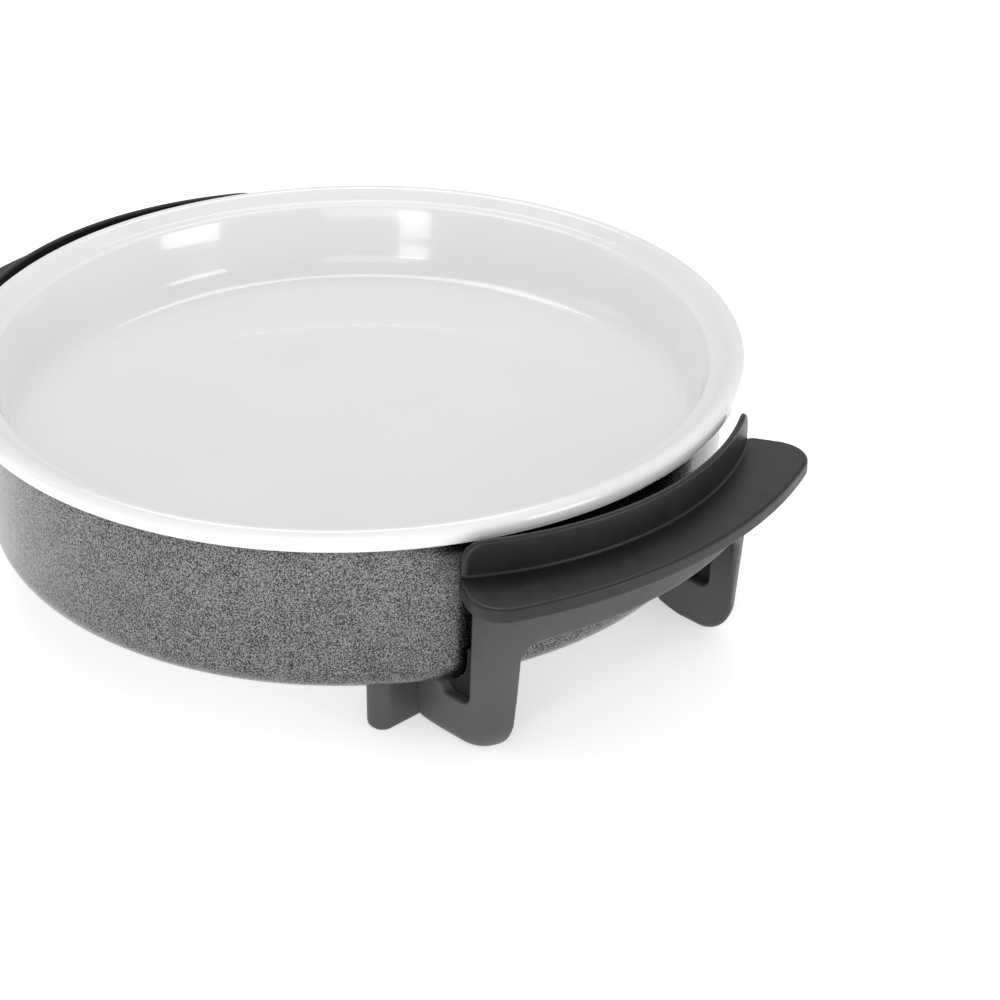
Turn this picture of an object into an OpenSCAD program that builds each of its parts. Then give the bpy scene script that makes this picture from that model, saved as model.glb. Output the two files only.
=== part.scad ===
// Round electric griddle pan: a white coated dish in a painted steel shell, on two handle brackets,
// with a plug-in thermostat control. Millimetres. +Z is up, the origin is on the table under the
// pan's axis, and +X points at the handle that is away from the control.

/* [Pan] */
// Radius over the rolled rim
rim_r = 200; // [198:1:204]
// Height of the rim's top above the table
rim_z = 125.5; // [124:0.5:128]
// Depth of the dish, from the rim's top to its floor
dish_depth = 43.5; // [42:0.5:46]
// Wall thickness of the dish
dish_t = 3; // [2.5:0.5:3]
// Radius of the blend between the dish's floor and its wall
dish_fillet = 14; // [10:1:16]

/* [Shell] */
// Height of the shell's underside above the table
shell_z = 30.5; // [29:0.5:31]
// Sheet thickness of the shell
shell_t = 1.2; // [1:0.1:1.2]
// Radius of the shell's rounded lower edge
shell_fillet = 14; // [12:1:16]

/* [Handles] */
// Radius of the grip's outer edge
grip_r = 241.5; // [236:0.5:246]
// Height of the grip's top face
grip_z = 103; // [102:0.5:104]
// Thickness of the grip
grip_t = 7.4; // [7:0.2:9]
// Half of the angle that the grip spans
grip_half_angle = 28.5; // [27:0.5:30]
// Height of the heat guard's top edge
guard_z = 121; // [116:0.5:122]
// Distance of a leg's middle from the handle's middle plane
leg_y = 80; // [79:0.5:82]
// Height of the skirt's lower edge
skirt_z = 63.5; // [62:0.5:68]

/* [Heater] */
// Radius of the heating ring's middle line
ring_r = 100; // [95:1:105]
// Radius of the heating tube
tube_r = 4; // [3.2:0.2:4]
// Height of the plug-in contacts and the temperature probe
plug_z = 50; // [49:0.5:50]

/* [Control] */
// Length of the control's case
case_l = 98; // [96:1:104]
// Width of the control's case
case_w = 54; // [52:1:60]
// Radius of the control's dial
dial_r = 17; // [15:0.5:18]

/* [Hidden] */
$fn = 96;

// Dish and shell
ledge_r = rim_r - 18;
floor_z = rim_z - dish_depth;
floor_under = floor_z - dish_t;
wall_lean = 15;
ledge_z = rim_z - 6.5;
roll_r = 4.4;
shell_r = rim_r - 11;
shell_low_r = rim_r - 13;
shell_top = ledge_z - dish_t - 0.2;
flange_r = 160;
base_r = 172;
base_z = shell_z + shell_t + 0.1;
base_t = 1.2;
base_top = base_z + base_t;

// Heater stack
spreader_r = 125;
spreader_z = floor_under - 9;
clamp_angles = [55, 305, 125, 235];
stud_at = [[50, 50], [-50, 50], [-50, -50], [50, -50]];
stud_r = 3;
reflector_z = 58;
sensor_x = -77;
pin_y = 13;
pin_r = 2.6;
probe_r = 3;
element_end = -150;

// Handles: the guard's arc has its own centre, nearer to the handle than the pan's axis
arc_x = 47.6;
arc_r = 167;
guard_t = 3;
guard_half = 96;
skirt_r = 214;
skirt_t = 4;
ledge_out = 223;
grip_under = grip_z - grip_t;
leg_r = skirt_r + 0.3;
leg_t = 16;
leg_w = 12.5;
leg_round = 19;
leg_top = grip_under - 0.2;
web_end = 164;
rail_x = 123;
rail_w = 14.5;
rail_y = 107;
rail_arch_z = 12;
screw_seat_z = 16;
handle_screw_at = [[149, leg_y], [149, -leg_y], [rail_x + rail_w / 2, 60],
    [rail_x + rail_w / 2, -60]];
grip_screw_angles = [-18, 0, 18];

// Control
case_x = -194;
case_end = case_x - case_l;
case_z = 20;
case_top_z = 60.5;
case_t = 2.2;
case_round = 9;
dial_x = case_end + 24;
lamp_x = dial_x + dial_r + 5.5;
shaft_r = 3.5;
run_gap = 0.05;
case_screw_at = [[case_x - 22, 21], [case_x - 22, -21], [case_end + 8, 19], [case_end + 8, -19]];

// Points along an arc from angle a0 to a1 about (x, y)
function arc(x, y, r, a0, a1, n = 8) =
    [for (i = [0:n]) let (a = a0 + (a1 - a0) * i / n) [x + r * cos(a), y + r * sin(a)]];

// Rectangle centred on the origin with true round corners
module round_rect(l, w, r) {
    square([l - 2 * r, w], center = true);
    square([l, w - 2 * r], center = true);
    for (x = [-1, 1], y = [-1, 1])
        translate([x * (l / 2 - r), y * (w / 2 - r)]) circle(r);
}

// Rod along +X from x0 to x1 at (y, z)
module rod_x(x0, x1, y, z, r) {
    translate([min(x0, x1), y, z]) rotate([0, 90, 0]) cylinder(r = r, h = abs(x1 - x0));
}

module at_studs() {
    for (p = stud_at) translate([p.x, p.y, 0]) children();
}

// The eight screws that hold brackets and rails to the pan
module at_handle_screws() {
    for (side = [1, -1], p = handle_screw_at) translate([side * p.x, p.y, 0]) children();
}

// Screw pointing up: the head's underside is at the origin
module screw_up(r, head_r, head_h, length) {
    translate([0, 0, -head_h]) cylinder(r = head_r, h = head_h);
    cylinder(r = r, h = length);
}

module dish() {
    fx = ledge_r - dish_fillet * cos(wall_lean)
        - (ledge_z - floor_z - dish_fillet * (1 - sin(wall_lean))) * tan(wall_lean);
    under_top = ledge_z - dish_t + 0.3;
    color("white") rotate_extrude($fn = 180) polygon(concat(
        [[0, floor_under], [0, floor_z]],
        arc(fx, floor_z + dish_fillet, dish_fillet, -90, -wall_lean),
        [[ledge_r, ledge_z], [ledge_r + 5.4, ledge_z + 0.8]],
        arc(rim_r - roll_r, rim_z - roll_r, roll_r, 130, 0),
        arc(rim_r - 3.4, rim_z - 7, 3.4, 0, -90, 5),
        [[rim_r - 9, rim_z - 10.4], [rim_r - 9.8, under_top], [ledge_r + 2.3, under_top]],
        arc(fx, floor_z + dish_fillet, dish_fillet + dish_t, -wall_lean, -90)));
}

module shell() {
    outer = concat(arc(shell_low_r - shell_fillet, shell_z + shell_fillet, shell_fillet, -90, 0),
        [[shell_r, shell_top]]);
    inner = concat([[shell_r - 3.2, shell_top], [shell_r - 3.2, shell_top - shell_t],
        [shell_r - shell_t, shell_top - shell_t]],
        arc(shell_low_r - shell_fillet, shell_z + shell_fillet, shell_fillet - shell_t, 0, -90));
    color("dimgray") difference() {
        rotate_extrude($fn = 180)
            polygon(concat([[flange_r, shell_z]], outer, inner, [[flange_r, shell_z + shell_t]]));
        translate([-shell_r - 5, -25, plug_z - 13]) cube([20, 50, 26]);
        for (y = [-29, 29]) rod_x(-shell_r - 5, -shell_r + 15, y, plug_z, 1.6);
        at_handle_screws() cylinder(r = 2.4, h = 40);
        for (a = [0:60:300]) rotate(a) translate([165, 0, 0]) cylinder(r = 1.7, h = 40);
    }
}

module base_plate() {
    color("silver") difference() {
        translate([0, 0, base_z]) cylinder(r = base_r, h = base_t);
        at_studs() cylinder(r = stud_r + 0.2, h = 60);
        at_handle_screws() cylinder(r = 2.4, h = 60);
        for (a = [0:60:300]) rotate(a) translate([165, 0, 0]) cylinder(r = 1.45, h = 60);
        for (a = [0:30:330]) rotate(a) translate([20, -2, 0]) cube([22, 4, 60]);
    }
}

module base_screws() {
    color("gray") for (a = [0:60:300]) rotate(a)
        translate([165, 0, shell_z]) screw_up(1.4, 3.2, 2, 5);
}

module heat_spreader() {
    color("lightgray") difference() {
        translate([0, 0, spreader_z]) cylinder(r = spreader_r, h = floor_under - spreader_z);
        rotate_extrude() translate([ring_r, spreader_z]) circle(tube_r + run_gap);
        at_studs() translate([0, 0, spreader_z - 1]) cylinder(r = stud_r + 0.02, h = 7);
        at_heater_screws() cylinder(r = 2.02, h = 6);
    }
}

// Two screws beside the tube at each clamp, and two in the sensor block
module at_heater_screws() {
    for (a = clamp_angles, s = [-11, 11])
        rotate(a) translate([ring_r + s, 0, spreader_z - 1]) children();
    for (y = [-15, 15]) translate([sensor_x, y, spreader_z - 1]) children();
}

module heating_element() {
    bend_x = -sqrt(pow(ring_r, 2) - pow(pin_y, 2));
    elbow_r = tube_r + 0.3;
    color("darkslategray") {
        difference() {
            rotate_extrude() translate([ring_r, spreader_z]) circle(tube_r, $fn = 32);
            translate([-ring_r - 10, -pin_y, spreader_z - 10]) cube([30, 2 * pin_y, 20]);
        }
        for (y = [-pin_y, pin_y]) {
            translate([bend_x, y, spreader_z - tube_r - 0.4]) sphere(elbow_r, $fn = 32);
            translate([bend_x, y, plug_z]) cylinder(r = tube_r, h = spreader_z - plug_z - 1);
            translate([bend_x, y, plug_z]) sphere(elbow_r, $fn = 32);
            rod_x(element_end, bend_x, y, plug_z, tube_r);
        }
    }
}

module terminal_pins() {
    color("gold") for (y = [-pin_y, pin_y]) {
        rod_x(-184, element_end, y, plug_z, pin_r);
        translate([-184, y, plug_z]) sphere(pin_r);
    }
}

module element_clamps() {
    color("silver") for (a = clamp_angles) rotate(a) difference() {
        translate([ring_r - 16, -6, spreader_z - 5.5]) cube([32, 12, 5.5]);
        translate([ring_r, 10, spreader_z]) rotate([90, 0, 0]) cylinder(r = tube_r + 0.5, h = 20);
        for (s = [-11, 11]) translate([ring_r + s, 0, spreader_z - 6]) cylinder(r = 2.2, h = 8);
    }
}

module heater_screws() {
    color("gray") {
        for (a = clamp_angles, s = [-11, 11]) rotate(a)
            translate([ring_r + s, 0, spreader_z - 5.5]) screw_up(2, 3.8, 2.4, 10);
        for (y = [-15, 15])
            translate([sensor_x, y, spreader_z - 5.5]) screw_up(2, 3.8, 2.4, 10);
    }
}

module sensor_block() {
    color("lightgray") difference() {
        union() {
            translate([sensor_x - 13, -9, plug_z - 6]) cube([26, 18, spreader_z - plug_z + 6]);
            translate([sensor_x - 13, -20, spreader_z - 5.5]) cube([26, 40, 5.5]);
        }
        rod_x(sensor_x - 14, sensor_x + 10, 0, plug_z, probe_r + run_gap);
        for (y = [-15, 15]) translate([sensor_x, y, spreader_z - 6]) cylinder(r = 2.2, h = 8);
    }
}

module reflector() {
    color("silver") difference() {
        rotate_extrude() polygon([[0, reflector_z], [140, reflector_z], [150, reflector_z + 8],
            [149, reflector_z + 8.6], [139.6, reflector_z + 0.8], [0, reflector_z + 0.8]]);
        at_studs() cylinder(r = stud_r + 0.2, h = 80);
        translate([-112, -23, 50]) cube([54, 46, 20]);
    }
}

module insulation_pad() {
    color("beige") difference() {
        translate([0, 0, base_top]) cylinder(r = 110, h = 10);
        at_studs() cylinder(r = 6.2, h = 60);
    }
}

module mounting_studs() {
    color("gray") at_studs() translate([0, 0, shell_z - 7])
        cylinder(r = stud_r, h = spreader_z - shell_z + 12.5);
}

module stud_spacers() {
    color("silver") at_studs() for (z = [[base_top, reflector_z], [reflector_z + 0.8, spreader_z]])
        translate([0, 0, z[0]]) difference() {
            cylinder(r = 5, h = z[1] - z[0]);
            translate([0, 0, -1]) cylinder(r = stud_r + 0.2, h = 60);
        }
}

module hex_nut(across_r, bore_r, h) {
    difference() {
        cylinder(r = across_r, h = h, $fn = 6);
        translate([0, 0, -1]) cylinder(r = bore_r, h = h + 2);
    }
}

module stud_nuts() {
    color("gray") at_studs() translate([0, 0, base_z - 5]) hex_nut(5.7, stud_r + 0.02, 5);
}

module inlet_guard() {
    color("darkgray") difference() {
        union() {
            difference() {
                translate([-191.5, -33, plug_z - 17]) cube([12, 66, 34]);
                cylinder(r = shell_low_r + 0.7, h = 100);
            }
            translate([-190.5, -24.6, plug_z - 12.6]) cube([30.5, 49.2, 25.2]);
        }
        translate([-195, -23, plug_z - 11]) cube([40, 46, 22]);
        for (y = [-29, 29]) rod_x(-195, -170, y, plug_z, 1.7);
    }
}

module inlet_screws() {
    color("gray") for (y = [-29, 29]) {
        rod_x(-191.5, -180, y, plug_z, 1.5);
        rod_x(-193.3, -191.5, y, plug_z, 2.9);
    }
}

// Spring strip under the socket's roof that meets the control's earthed nose
module earth_contact() {
    color("goldenrod") {
        translate([-178, -5, plug_z + 10.4]) cube([26, 10, 0.6]);
        translate([-152.6, -5, plug_z + 10.4]) cube([0.6, 10, 9.6]);
    }
}

// Curved wall that follows the guard's arc
module arc_wall(r_out, t, z0, z1) {
    translate([arc_x, 0, z0]) difference() {
        cylinder(r = r_out, h = z1 - z0, $fn = 180);
        translate([0, 0, -1]) cylinder(r = r_out - t, h = z1 - z0 + 2, $fn = 180);
    }
}

// Skirt in section: x is the distance from the pan's axis. A ledge on top carries the grip.
module skirt_side() {
    polygon([[skirt_r - skirt_t, skirt_z], [skirt_r, skirt_z], [skirt_r, grip_under - 5],
        [ledge_out, grip_under - 5], [ledge_out, grip_under], [skirt_r - skirt_t, grip_under]]);
}

// Leg in section: it leans in towards a round foot, and a web runs in from the foot to the shell
module leg_side() {
    foot_r = leg_r - 4.6;
    polygon(concat(
        [[web_end, 4], [web_end + 14, 0]],
        arc(foot_r - leg_round, leg_round, leg_round, -90, -7),
        [[leg_r, skirt_z], [leg_r, leg_top], [leg_r - leg_t, leg_top], [leg_r - leg_t - 2.6, 34]],
        arc(189.5, 30, 5, 0, -90, 4), arc(182, 30, 5, -90, -150, 4),
        [[174.5, shell_z], [web_end, shell_z]]));
}

// Thin rib that closes the notch between a leg, its web and the shell
module notch_rib() {
    polygon([[176, 24], [198, 24], [198, 46], [189.3, 46], [188, 40], [184, 33.2], [178, 30.3],
        [176, 30.3]]);
}

module bracket(side) {
    color("#3a3a3c") rotate(side) difference() {
        union() {
            intersection() {
                rotate_extrude($fn = 180) skirt_side();
                translate([130, 0.25 - leg_y - leg_w / 2, 0])
                    cube([110, 2 * leg_y + leg_w - 0.5, 110]);
            }
            for (y = [-leg_y, leg_y]) intersection() {
                rotate_extrude($fn = 180) leg_side();
                translate([100, y - leg_w / 2, 0]) cube([140, leg_w, 110]);
            }
            for (y = [-leg_y, leg_y]) intersection() {
                rotate_extrude($fn = 180) notch_rib();
                translate([100, y - 1.2, 0]) cube([140, 2.4, 110]);
            }
        }
        for (y = [-leg_y, leg_y]) translate([handle_screw_at[0].x, y, -1]) {
            cylinder(r = 2.4, h = 60);
            cylinder(r = 3.9, h = screw_seat_z + 1);
        }
        at_grip_screws() cylinder(r = 2, h = 60);
    }
}

module at_grip_screws() {
    for (a = grip_screw_angles) rotate(a) translate([skirt_r + 4.5, 0, 60]) children();
}

module bracket_right() { bracket(0); }
module bracket_left() { bracket(180); }

// Plan of the grip: round outside about the pan's axis, hollow inside along the guard
module grip_plan() {
    corner = 12;
    offset(corner, $fn = 40) offset(delta = -corner) difference() {
        intersection() {
            circle(grip_r, $fn = 180);
            polygon([[0, 0], [300, -300 * tan(grip_half_angle)], [300, 300 * tan(grip_half_angle)]]);
        }
        translate([arc_x, 0]) circle(arc_r - guard_t, $fn = 180);
    }
}

module guard_front() {
    corner = 10;
    polygon(concat(arc(guard_half - corner, guard_z - corner, corner, 0, 90, 6),
        arc(corner - guard_half, guard_z - corner, corner, 90, 180, 6),
        [[-guard_half, grip_z - 2], [guard_half, grip_z - 2]]));
}

module grip(side) {
    color("#2b2b2d") rotate(side) difference() {
        union() {
            translate([0, 0, grip_under]) linear_extrude(grip_t) grip_plan();
            intersection() {
                arc_wall(arc_r, guard_t, grip_z - 2, guard_z);
                translate([150, 0, 0]) rotate([90, 0, 90]) linear_extrude(90) guard_front();
            }
        }
        at_grip_screws() cylinder(r = 1.9, h = 40.6);
    }
}

module grip_right() { grip(0); }
module grip_left() { grip(180); }

module grip_screws() {
    color("gray") for (side = [0, 180]) rotate(side) at_grip_screws()
        translate([0, 0, grip_under - 65]) screw_up(1.85, 3.4, 2.4, 9.5);
}

// Bar under the shell: its ends are feet and its middle is raised
module foot_rail(side) {
    foot_l = 32;
    color("#3a3a3c") rotate(side) difference() {
        translate([rail_x + rail_w / 2, 0, 0]) linear_extrude(shell_z)
            round_rect(rail_w, 2 * rail_y, 6);
        translate([rail_x - 1, foot_l - rail_y, -1])
            cube([rail_w + 2, 2 * (rail_y - foot_l), rail_arch_z + 1]);
        for (y = [-60, 60]) translate([rail_x + rail_w / 2, y, -1]) {
            cylinder(r = 2.4, h = 60);
            cylinder(r = 3.9, h = screw_seat_z + 1);
        }
    }
}

module foot_rail_right() { foot_rail(0); }
module foot_rail_left() { foot_rail(180); }

module handle_screws() {
    color("gray") at_handle_screws() translate([0, 0, screw_seat_z])
        screw_up(2.2, 3.6, 3, 22);
}

module handle_nuts() {
    color("gray") at_handle_screws() translate([0, 0, base_top]) hex_nut(4.2, 2.22, 4);
}

// Outer block of the control's case between two heights
module case_block(z0, z1, inset = 0) {
    translate([(case_x + case_end) / 2, 0, z0]) linear_extrude(z1 - z0)
        round_rect(case_l - 2 * inset, case_w - 2 * inset, case_round - inset);
}

// Space inside the case, with its nose, gland and screws let through the walls
module case_holes() {
    translate([case_x - 12, -22.6, plug_z - 10.4]) cube([20, 45.2, 20.8]);
    rod_x(case_end - 5, case_end + 10, 0, plug_z - 15, 6.1);
    for (p = case_screw_at) translate([p.x, p.y, 0]) {
        cylinder(r = 1.6, h = case_top_z - 3);
        cylinder(r = 3.2, h = case_z + 4);
    }
}

module case_bosses(z0, z1) {
    for (p = case_screw_at) translate([p.x, p.y, z0]) cylinder(r = 4.6, h = z1 - z0);
}

module case_bottom() {
    color("#2b2b2d") difference() {
        union() {
            difference() {
                case_block(case_z, plug_z);
                case_block(case_z + case_t, plug_z + 1, case_t);
            }
            case_bosses(case_z + 1, plug_z);
        }
        case_holes();
    }
}

module case_top() {
    color("#2b2b2d") difference() {
        union() {
            difference() {
                case_block(plug_z, case_top_z);
                case_block(plug_z - 1, case_top_z - case_t, case_t);
            }
            case_bosses(plug_z, case_top_z - 1);
            translate([dial_x, 0, case_top_z - 6]) cylinder(r = 7, h = 5);
        }
        case_holes();
        translate([dial_x, 0, 0]) cylinder(r = shaft_r + run_gap, h = 100);
        translate([lamp_x, 0, 0]) cylinder(r = 2.7, h = 100);
    }
}

module case_screws() {
    color("gray") for (p = case_screw_at)
        translate([p.x, p.y, case_z + 4]) screw_up(1.5, 3, 2.2, 32);
}

module contact_carrier() {
    color("#4a4038") difference() {
        translate([-204, -22.5, plug_z - 10.3]) cube([36, 45, 20.2]);
        for (y = [-pin_y, pin_y]) rod_x(-210, -160, y, plug_z, 4);
        rod_x(-210, -160, 0, plug_z, probe_r + 0.02);
    }
}

module contact_sockets() {
    color("gold") for (y = [-pin_y, pin_y]) difference() {
        rod_x(-203, -169, y, plug_z, 3.95);
        rod_x(-190, -160, y, plug_z, pin_r + run_gap);
    }
}

module switch_strips() {
    color("goldenrod") for (y = [-pin_y, pin_y])
        translate([dial_x + 16, y - 2.5, plug_z - 0.5]) cube([-204 - dial_x - 16, 5, 1]);
}

module control_probe() {
    color("silver") {
        rod_x(-214, sensor_x - 4, 0, plug_z, probe_r);
        translate([sensor_x - 4, 0, plug_z]) sphere(probe_r);
    }
}

module thermostat_switch() {
    color("ivory") difference() {
        union() {
            translate([dial_x - 8, -16, case_z + case_t]) cube([24, 32, 22]);
            translate([dial_x, 0, 40]) cylinder(r = 6, h = 8);
        }
        translate([dial_x, 0, 36]) cylinder(r = 3 + run_gap, h = 20);
    }
}

module pilot_lamp() {
    color("orange") translate([lamp_x, 0, case_top_z - 11.5]) {
        cylinder(r = 2.2, h = 6);
        translate([0, 0, 6]) sphere(2.2);
    }
}

module lamp_lens() {
    color("red") translate([lamp_x, 0, case_top_z - case_t]) {
        cylinder(r = 2.65, h = case_t + 0.6);
        translate([0, 0, -1]) cylinder(r = 3.6, h = 1);
    }
}

module cord_gland() {
    color("#1c1c1e") translate([case_end, 0, plug_z - 15]) rotate([0, -90, 0]) difference() {
        union() {
            translate([0, 0, -5]) cylinder(r = 6, h = 7);
            translate([0, 0, -5]) cylinder(r = 8, h = 2.6);
            cylinder(r = 8, h = 3);
            translate([0, 0, 3]) cylinder(r = 6.5, h = 9);
        }
        translate([0, 0, -6]) cylinder(r = 3.6, h = 30);
    }
}

module dial_shaft() {
    color("silver") translate([dial_x, 0, 0]) {
        translate([0, 0, 37]) cylinder(r = 3, h = 12);
        translate([0, 0, 49]) cylinder(r = shaft_r, h = 20);
    }
}

module control_dial() {
    base = case_top_z + 0.6;
    flutes = 24;
    color("#232325") translate([dial_x, 0, 0]) difference() {
        union() {
            translate([0, 0, base]) cylinder(r = dial_r, h = 3);
            translate([0, 0, base + 3]) cylinder(r = dial_r - 2.5, h = 8.5);
            translate([0, -1.2, base + 11.5]) cube([dial_r - 3, 2.4, 1]);
        }
        for (i = [0:flutes - 1]) rotate(i * 360 / flutes)
            translate([dial_r - 1.9, 0, base + 3]) cylinder(r = 1.2, h = 12, $fn = 24);
        cylinder(r = shaft_r + 0.02, h = 69.1);
    }
}

dish();
shell();
base_plate();
base_screws();
heat_spreader();
heating_element();
terminal_pins();
element_clamps();
heater_screws();
sensor_block();
reflector();
insulation_pad();
mounting_studs();
stud_spacers();
stud_nuts();
inlet_guard();
inlet_screws();
earth_contact();
bracket_right();
bracket_left();
grip_right();
grip_left();
grip_screws();
foot_rail_right();
foot_rail_left();
handle_screws();
handle_nuts();
case_bottom();
case_top();
case_screws();
contact_carrier();
contact_sockets();
switch_strips();
control_probe();
thermostat_switch();
pilot_lamp();
lamp_lens();
cord_gland();
dial_shaft();
control_dial();
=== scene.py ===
"""Looks of the round electric griddle: pieces, materials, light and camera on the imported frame.

Shapes are worked out in millimetres, because that is how the object is drawn, and scaled to metres
when a mesh is made. Moulded parts are rounded solids given as distance fields and meshed by
surface_net(); turned parts are lathed from an outline.
"""
import math

import bmesh
import bpy
import numpy as np
from mathutils import Matrix, Vector


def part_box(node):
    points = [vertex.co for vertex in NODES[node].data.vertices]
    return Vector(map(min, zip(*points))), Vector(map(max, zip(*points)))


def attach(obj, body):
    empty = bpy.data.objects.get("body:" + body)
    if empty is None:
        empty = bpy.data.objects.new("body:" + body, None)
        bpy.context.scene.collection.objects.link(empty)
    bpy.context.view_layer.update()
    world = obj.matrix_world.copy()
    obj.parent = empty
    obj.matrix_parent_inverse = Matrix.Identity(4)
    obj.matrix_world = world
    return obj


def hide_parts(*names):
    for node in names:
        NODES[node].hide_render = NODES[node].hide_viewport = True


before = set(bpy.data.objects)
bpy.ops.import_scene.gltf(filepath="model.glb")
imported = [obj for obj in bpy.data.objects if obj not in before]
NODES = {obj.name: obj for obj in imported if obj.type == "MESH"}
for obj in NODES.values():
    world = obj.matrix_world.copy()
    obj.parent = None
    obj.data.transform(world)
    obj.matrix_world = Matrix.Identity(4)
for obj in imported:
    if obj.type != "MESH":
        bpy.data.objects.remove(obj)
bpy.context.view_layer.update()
MM = 0.001


# ---------------------------------------------------------------- sizes from the frame, millimetres

def node_box(name):
    """Lowest and highest corner of a CAD node, in millimetres."""
    low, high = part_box(name)
    return np.array(low) * 1000.0, np.array(high) * 1000.0


SHELL_LOW, SHELL_HIGH = node_box("shell")
GRIP_LOW, GRIP_HIGH = node_box("grip_right")
BRACKET_LOW, BRACKET_HIGH = node_box("bracket_right")
RAIL_LOW, RAIL_HIGH = node_box("foot_rail_right")
CASE_LOW, CASE_HIGH = node_box("case_bottom")
CASE_TOP_LOW, CASE_TOP_HIGH = node_box("case_top")
DIAL_LOW, DIAL_HIGH = node_box("control_dial")

# dish: rim, the step a lid sits on, floor
RIM_R = 200.0
RIM_Z = 125.5
LEDGE_R = RIM_R - 18.0
LEDGE_Z = RIM_Z - 6.5
FLOOR_Z = RIM_Z - 43.5
DISH_T = 3.0
DISH_FILLET = 14.0
WALL_LEAN = math.radians(15.0)

# shell, open below the flange, with the control's socket cut into it
SHELL_R = RIM_R - 11.0
SHELL_LOW_R = RIM_R - 13.0
SHELL_Z = SHELL_LOW[2]
SHELL_TOP = SHELL_HIGH[2]
SHELL_T = 1.2
SHELL_FILLET = 14.0
FLANGE_R = 160.0
SOCKET_HALF_W = 24.9
SOCKET_HALF_H = 12.9

# grip: a plate between the radius GRIP_R and the arc about ARC_X, with the heat guard on the arc
GRIP_R = GRIP_HIGH[0]
GRIP_Z = 103.0
GRIP_T = 7.4
GRIP_HALF = math.radians(28.5)
GRIP_OUTER_CORNER = 19.0
GRIP_INNER_CORNER = 7.0
GUARD_Z = GRIP_HIGH[2]
ARC_X = 47.6
ARC_R = 167.0
GUARD_T = 3.0
GUARD_HALF = 96.0
GUARD_CORNER = 10.0
GRIP_UNDER = GRIP_Z - GRIP_T

# bracket: skirt, ledge under the grip, legs, and webs that run in to WEB_END
SKIRT_R = 214.0
SKIRT_T = 4.0
LEDGE_OUT = 223.0
SKIRT_Z = 63.5
LEG_Y = 80.0
LEG_W = 12.5
LEG_R = SKIRT_R + 0.3
LEG_T = 16.0
LEG_ROUND = 19.0
WEB_END = 164.0
# thickness of the near-black ribs that paint shadow into the notches
SHADOW_RIB_T = 2.2
LEG_LEAN = 0.103
LEG_INNER_LEAN = 0.0423
WEB_Z = 25.0
WEB_STEP_R = 181.0
WEB_STEP = 7.0
WEB_SLOPE = 0.286
LEDGE_DEPTH = 5.0

# screws from below, and the bar that they also hold
SCREW_SEAT = 16.0
SCREW_BORE_R = 3.9
SCREW_X = 149.0
RAIL_SCREW_Y = 60.0
RAIL_FOOT = 32.0
RAIL_ARCH_Z = 12.0

# heights of the plug's and the cord's middle line
PLUG_Z = 50.0
GLAND_Z = PLUG_Z - 15.0


# ---------------------------------------------------------------- distance fields

def rmax(a, b, r):
    """Intersection of two solids, with an edge rounded to radius r."""
    u = np.maximum(a + r, 0.0)
    v = np.maximum(b + r, 0.0)
    return np.minimum(np.maximum(a, b), -r) + np.hypot(u, v)


def rmin(a, b, r):
    """Union of two solids, with a fillet of radius r where they meet."""
    return -rmax(-a, -b, r)


def rounded_rect(u, v, half_u, half_v, r):
    """Rectangle with round corners, in a plane."""
    du = np.abs(u) - half_u + r
    dv = np.abs(v) - half_v + r
    inside = np.minimum(np.maximum(du, dv), 0.0)
    return inside + np.hypot(np.maximum(du, 0), np.maximum(dv, 0)) - r


def surface_net(field, low, high, step):
    """Quad mesh of field == 0 in a box: one point per crossed cell, pulled onto the surface."""
    low = np.array(low, float)
    counts = np.ceil((np.array(high, float) - low) / step).astype(int) + 1
    axes = [low[i] + step * np.arange(counts[i]) for i in range(3)]
    grid = np.stack(np.meshgrid(*axes, indexing="ij"), -1)
    value = field(grid)
    cells = counts - 1
    total = np.zeros(tuple(cells) + (3,))
    hits = np.zeros(tuple(cells))
    crossings = []
    for axis in range(3):
        first = [slice(None)] * 3
        second = [slice(None)] * 3
        first[axis] = slice(0, -1)
        second[axis] = slice(1, None)
        va, vb = value[tuple(first)], value[tuple(second)]
        cross = (va < 0) != (vb < 0)
        part = np.where(cross, va / np.where(cross, va - vb, 1.0), 0.0)
        point = grid[tuple(first)].copy()
        point[..., axis] += part * step
        point *= cross[..., None]
        others = ((axis + 1) % 3, (axis + 2) % 3)
        for d1 in (0, 1):
            for d2 in (0, 1):
                cut = [slice(None)] * 3
                cut[others[0]] = slice(d1, d1 + cells[others[0]])
                cut[others[1]] = slice(d2, d2 + cells[others[1]])
                total += point[tuple(cut)]
                hits += cross[tuple(cut)]
        crossings.append((axis, others, cross, va < 0))
    used = hits > 0
    index = np.full(used.shape, -1)
    index[used] = np.arange(used.sum())
    points = total[used] / hits[used][:, None]
    for _ in range(4):
        points = pull_to_surface(field, points, 0.5 * step)
    faces = []
    for axis, (o1, o2), cross, inside in crossings:
        k = np.argwhere(cross)
        k = k[(k[:, o1] > 0) & (k[:, o1] < cells[o1]) & (k[:, o2] > 0) & (k[:, o2] < cells[o2])]
        corners = []
        for d1, d2 in ((1, 1), (0, 1), (0, 0), (1, 0)):
            c = k.copy()
            c[:, o1] -= d1
            c[:, o2] -= d2
            corners.append(index[c[:, 0], c[:, 1], c[:, 2]])
        quad = np.stack(corners, 1)
        flip = ~inside[k[:, 0], k[:, 1], k[:, 2]]
        quad[flip] = quad[flip][:, ::-1]
        faces.append(quad)
    return points, np.concatenate(faces)


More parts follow.
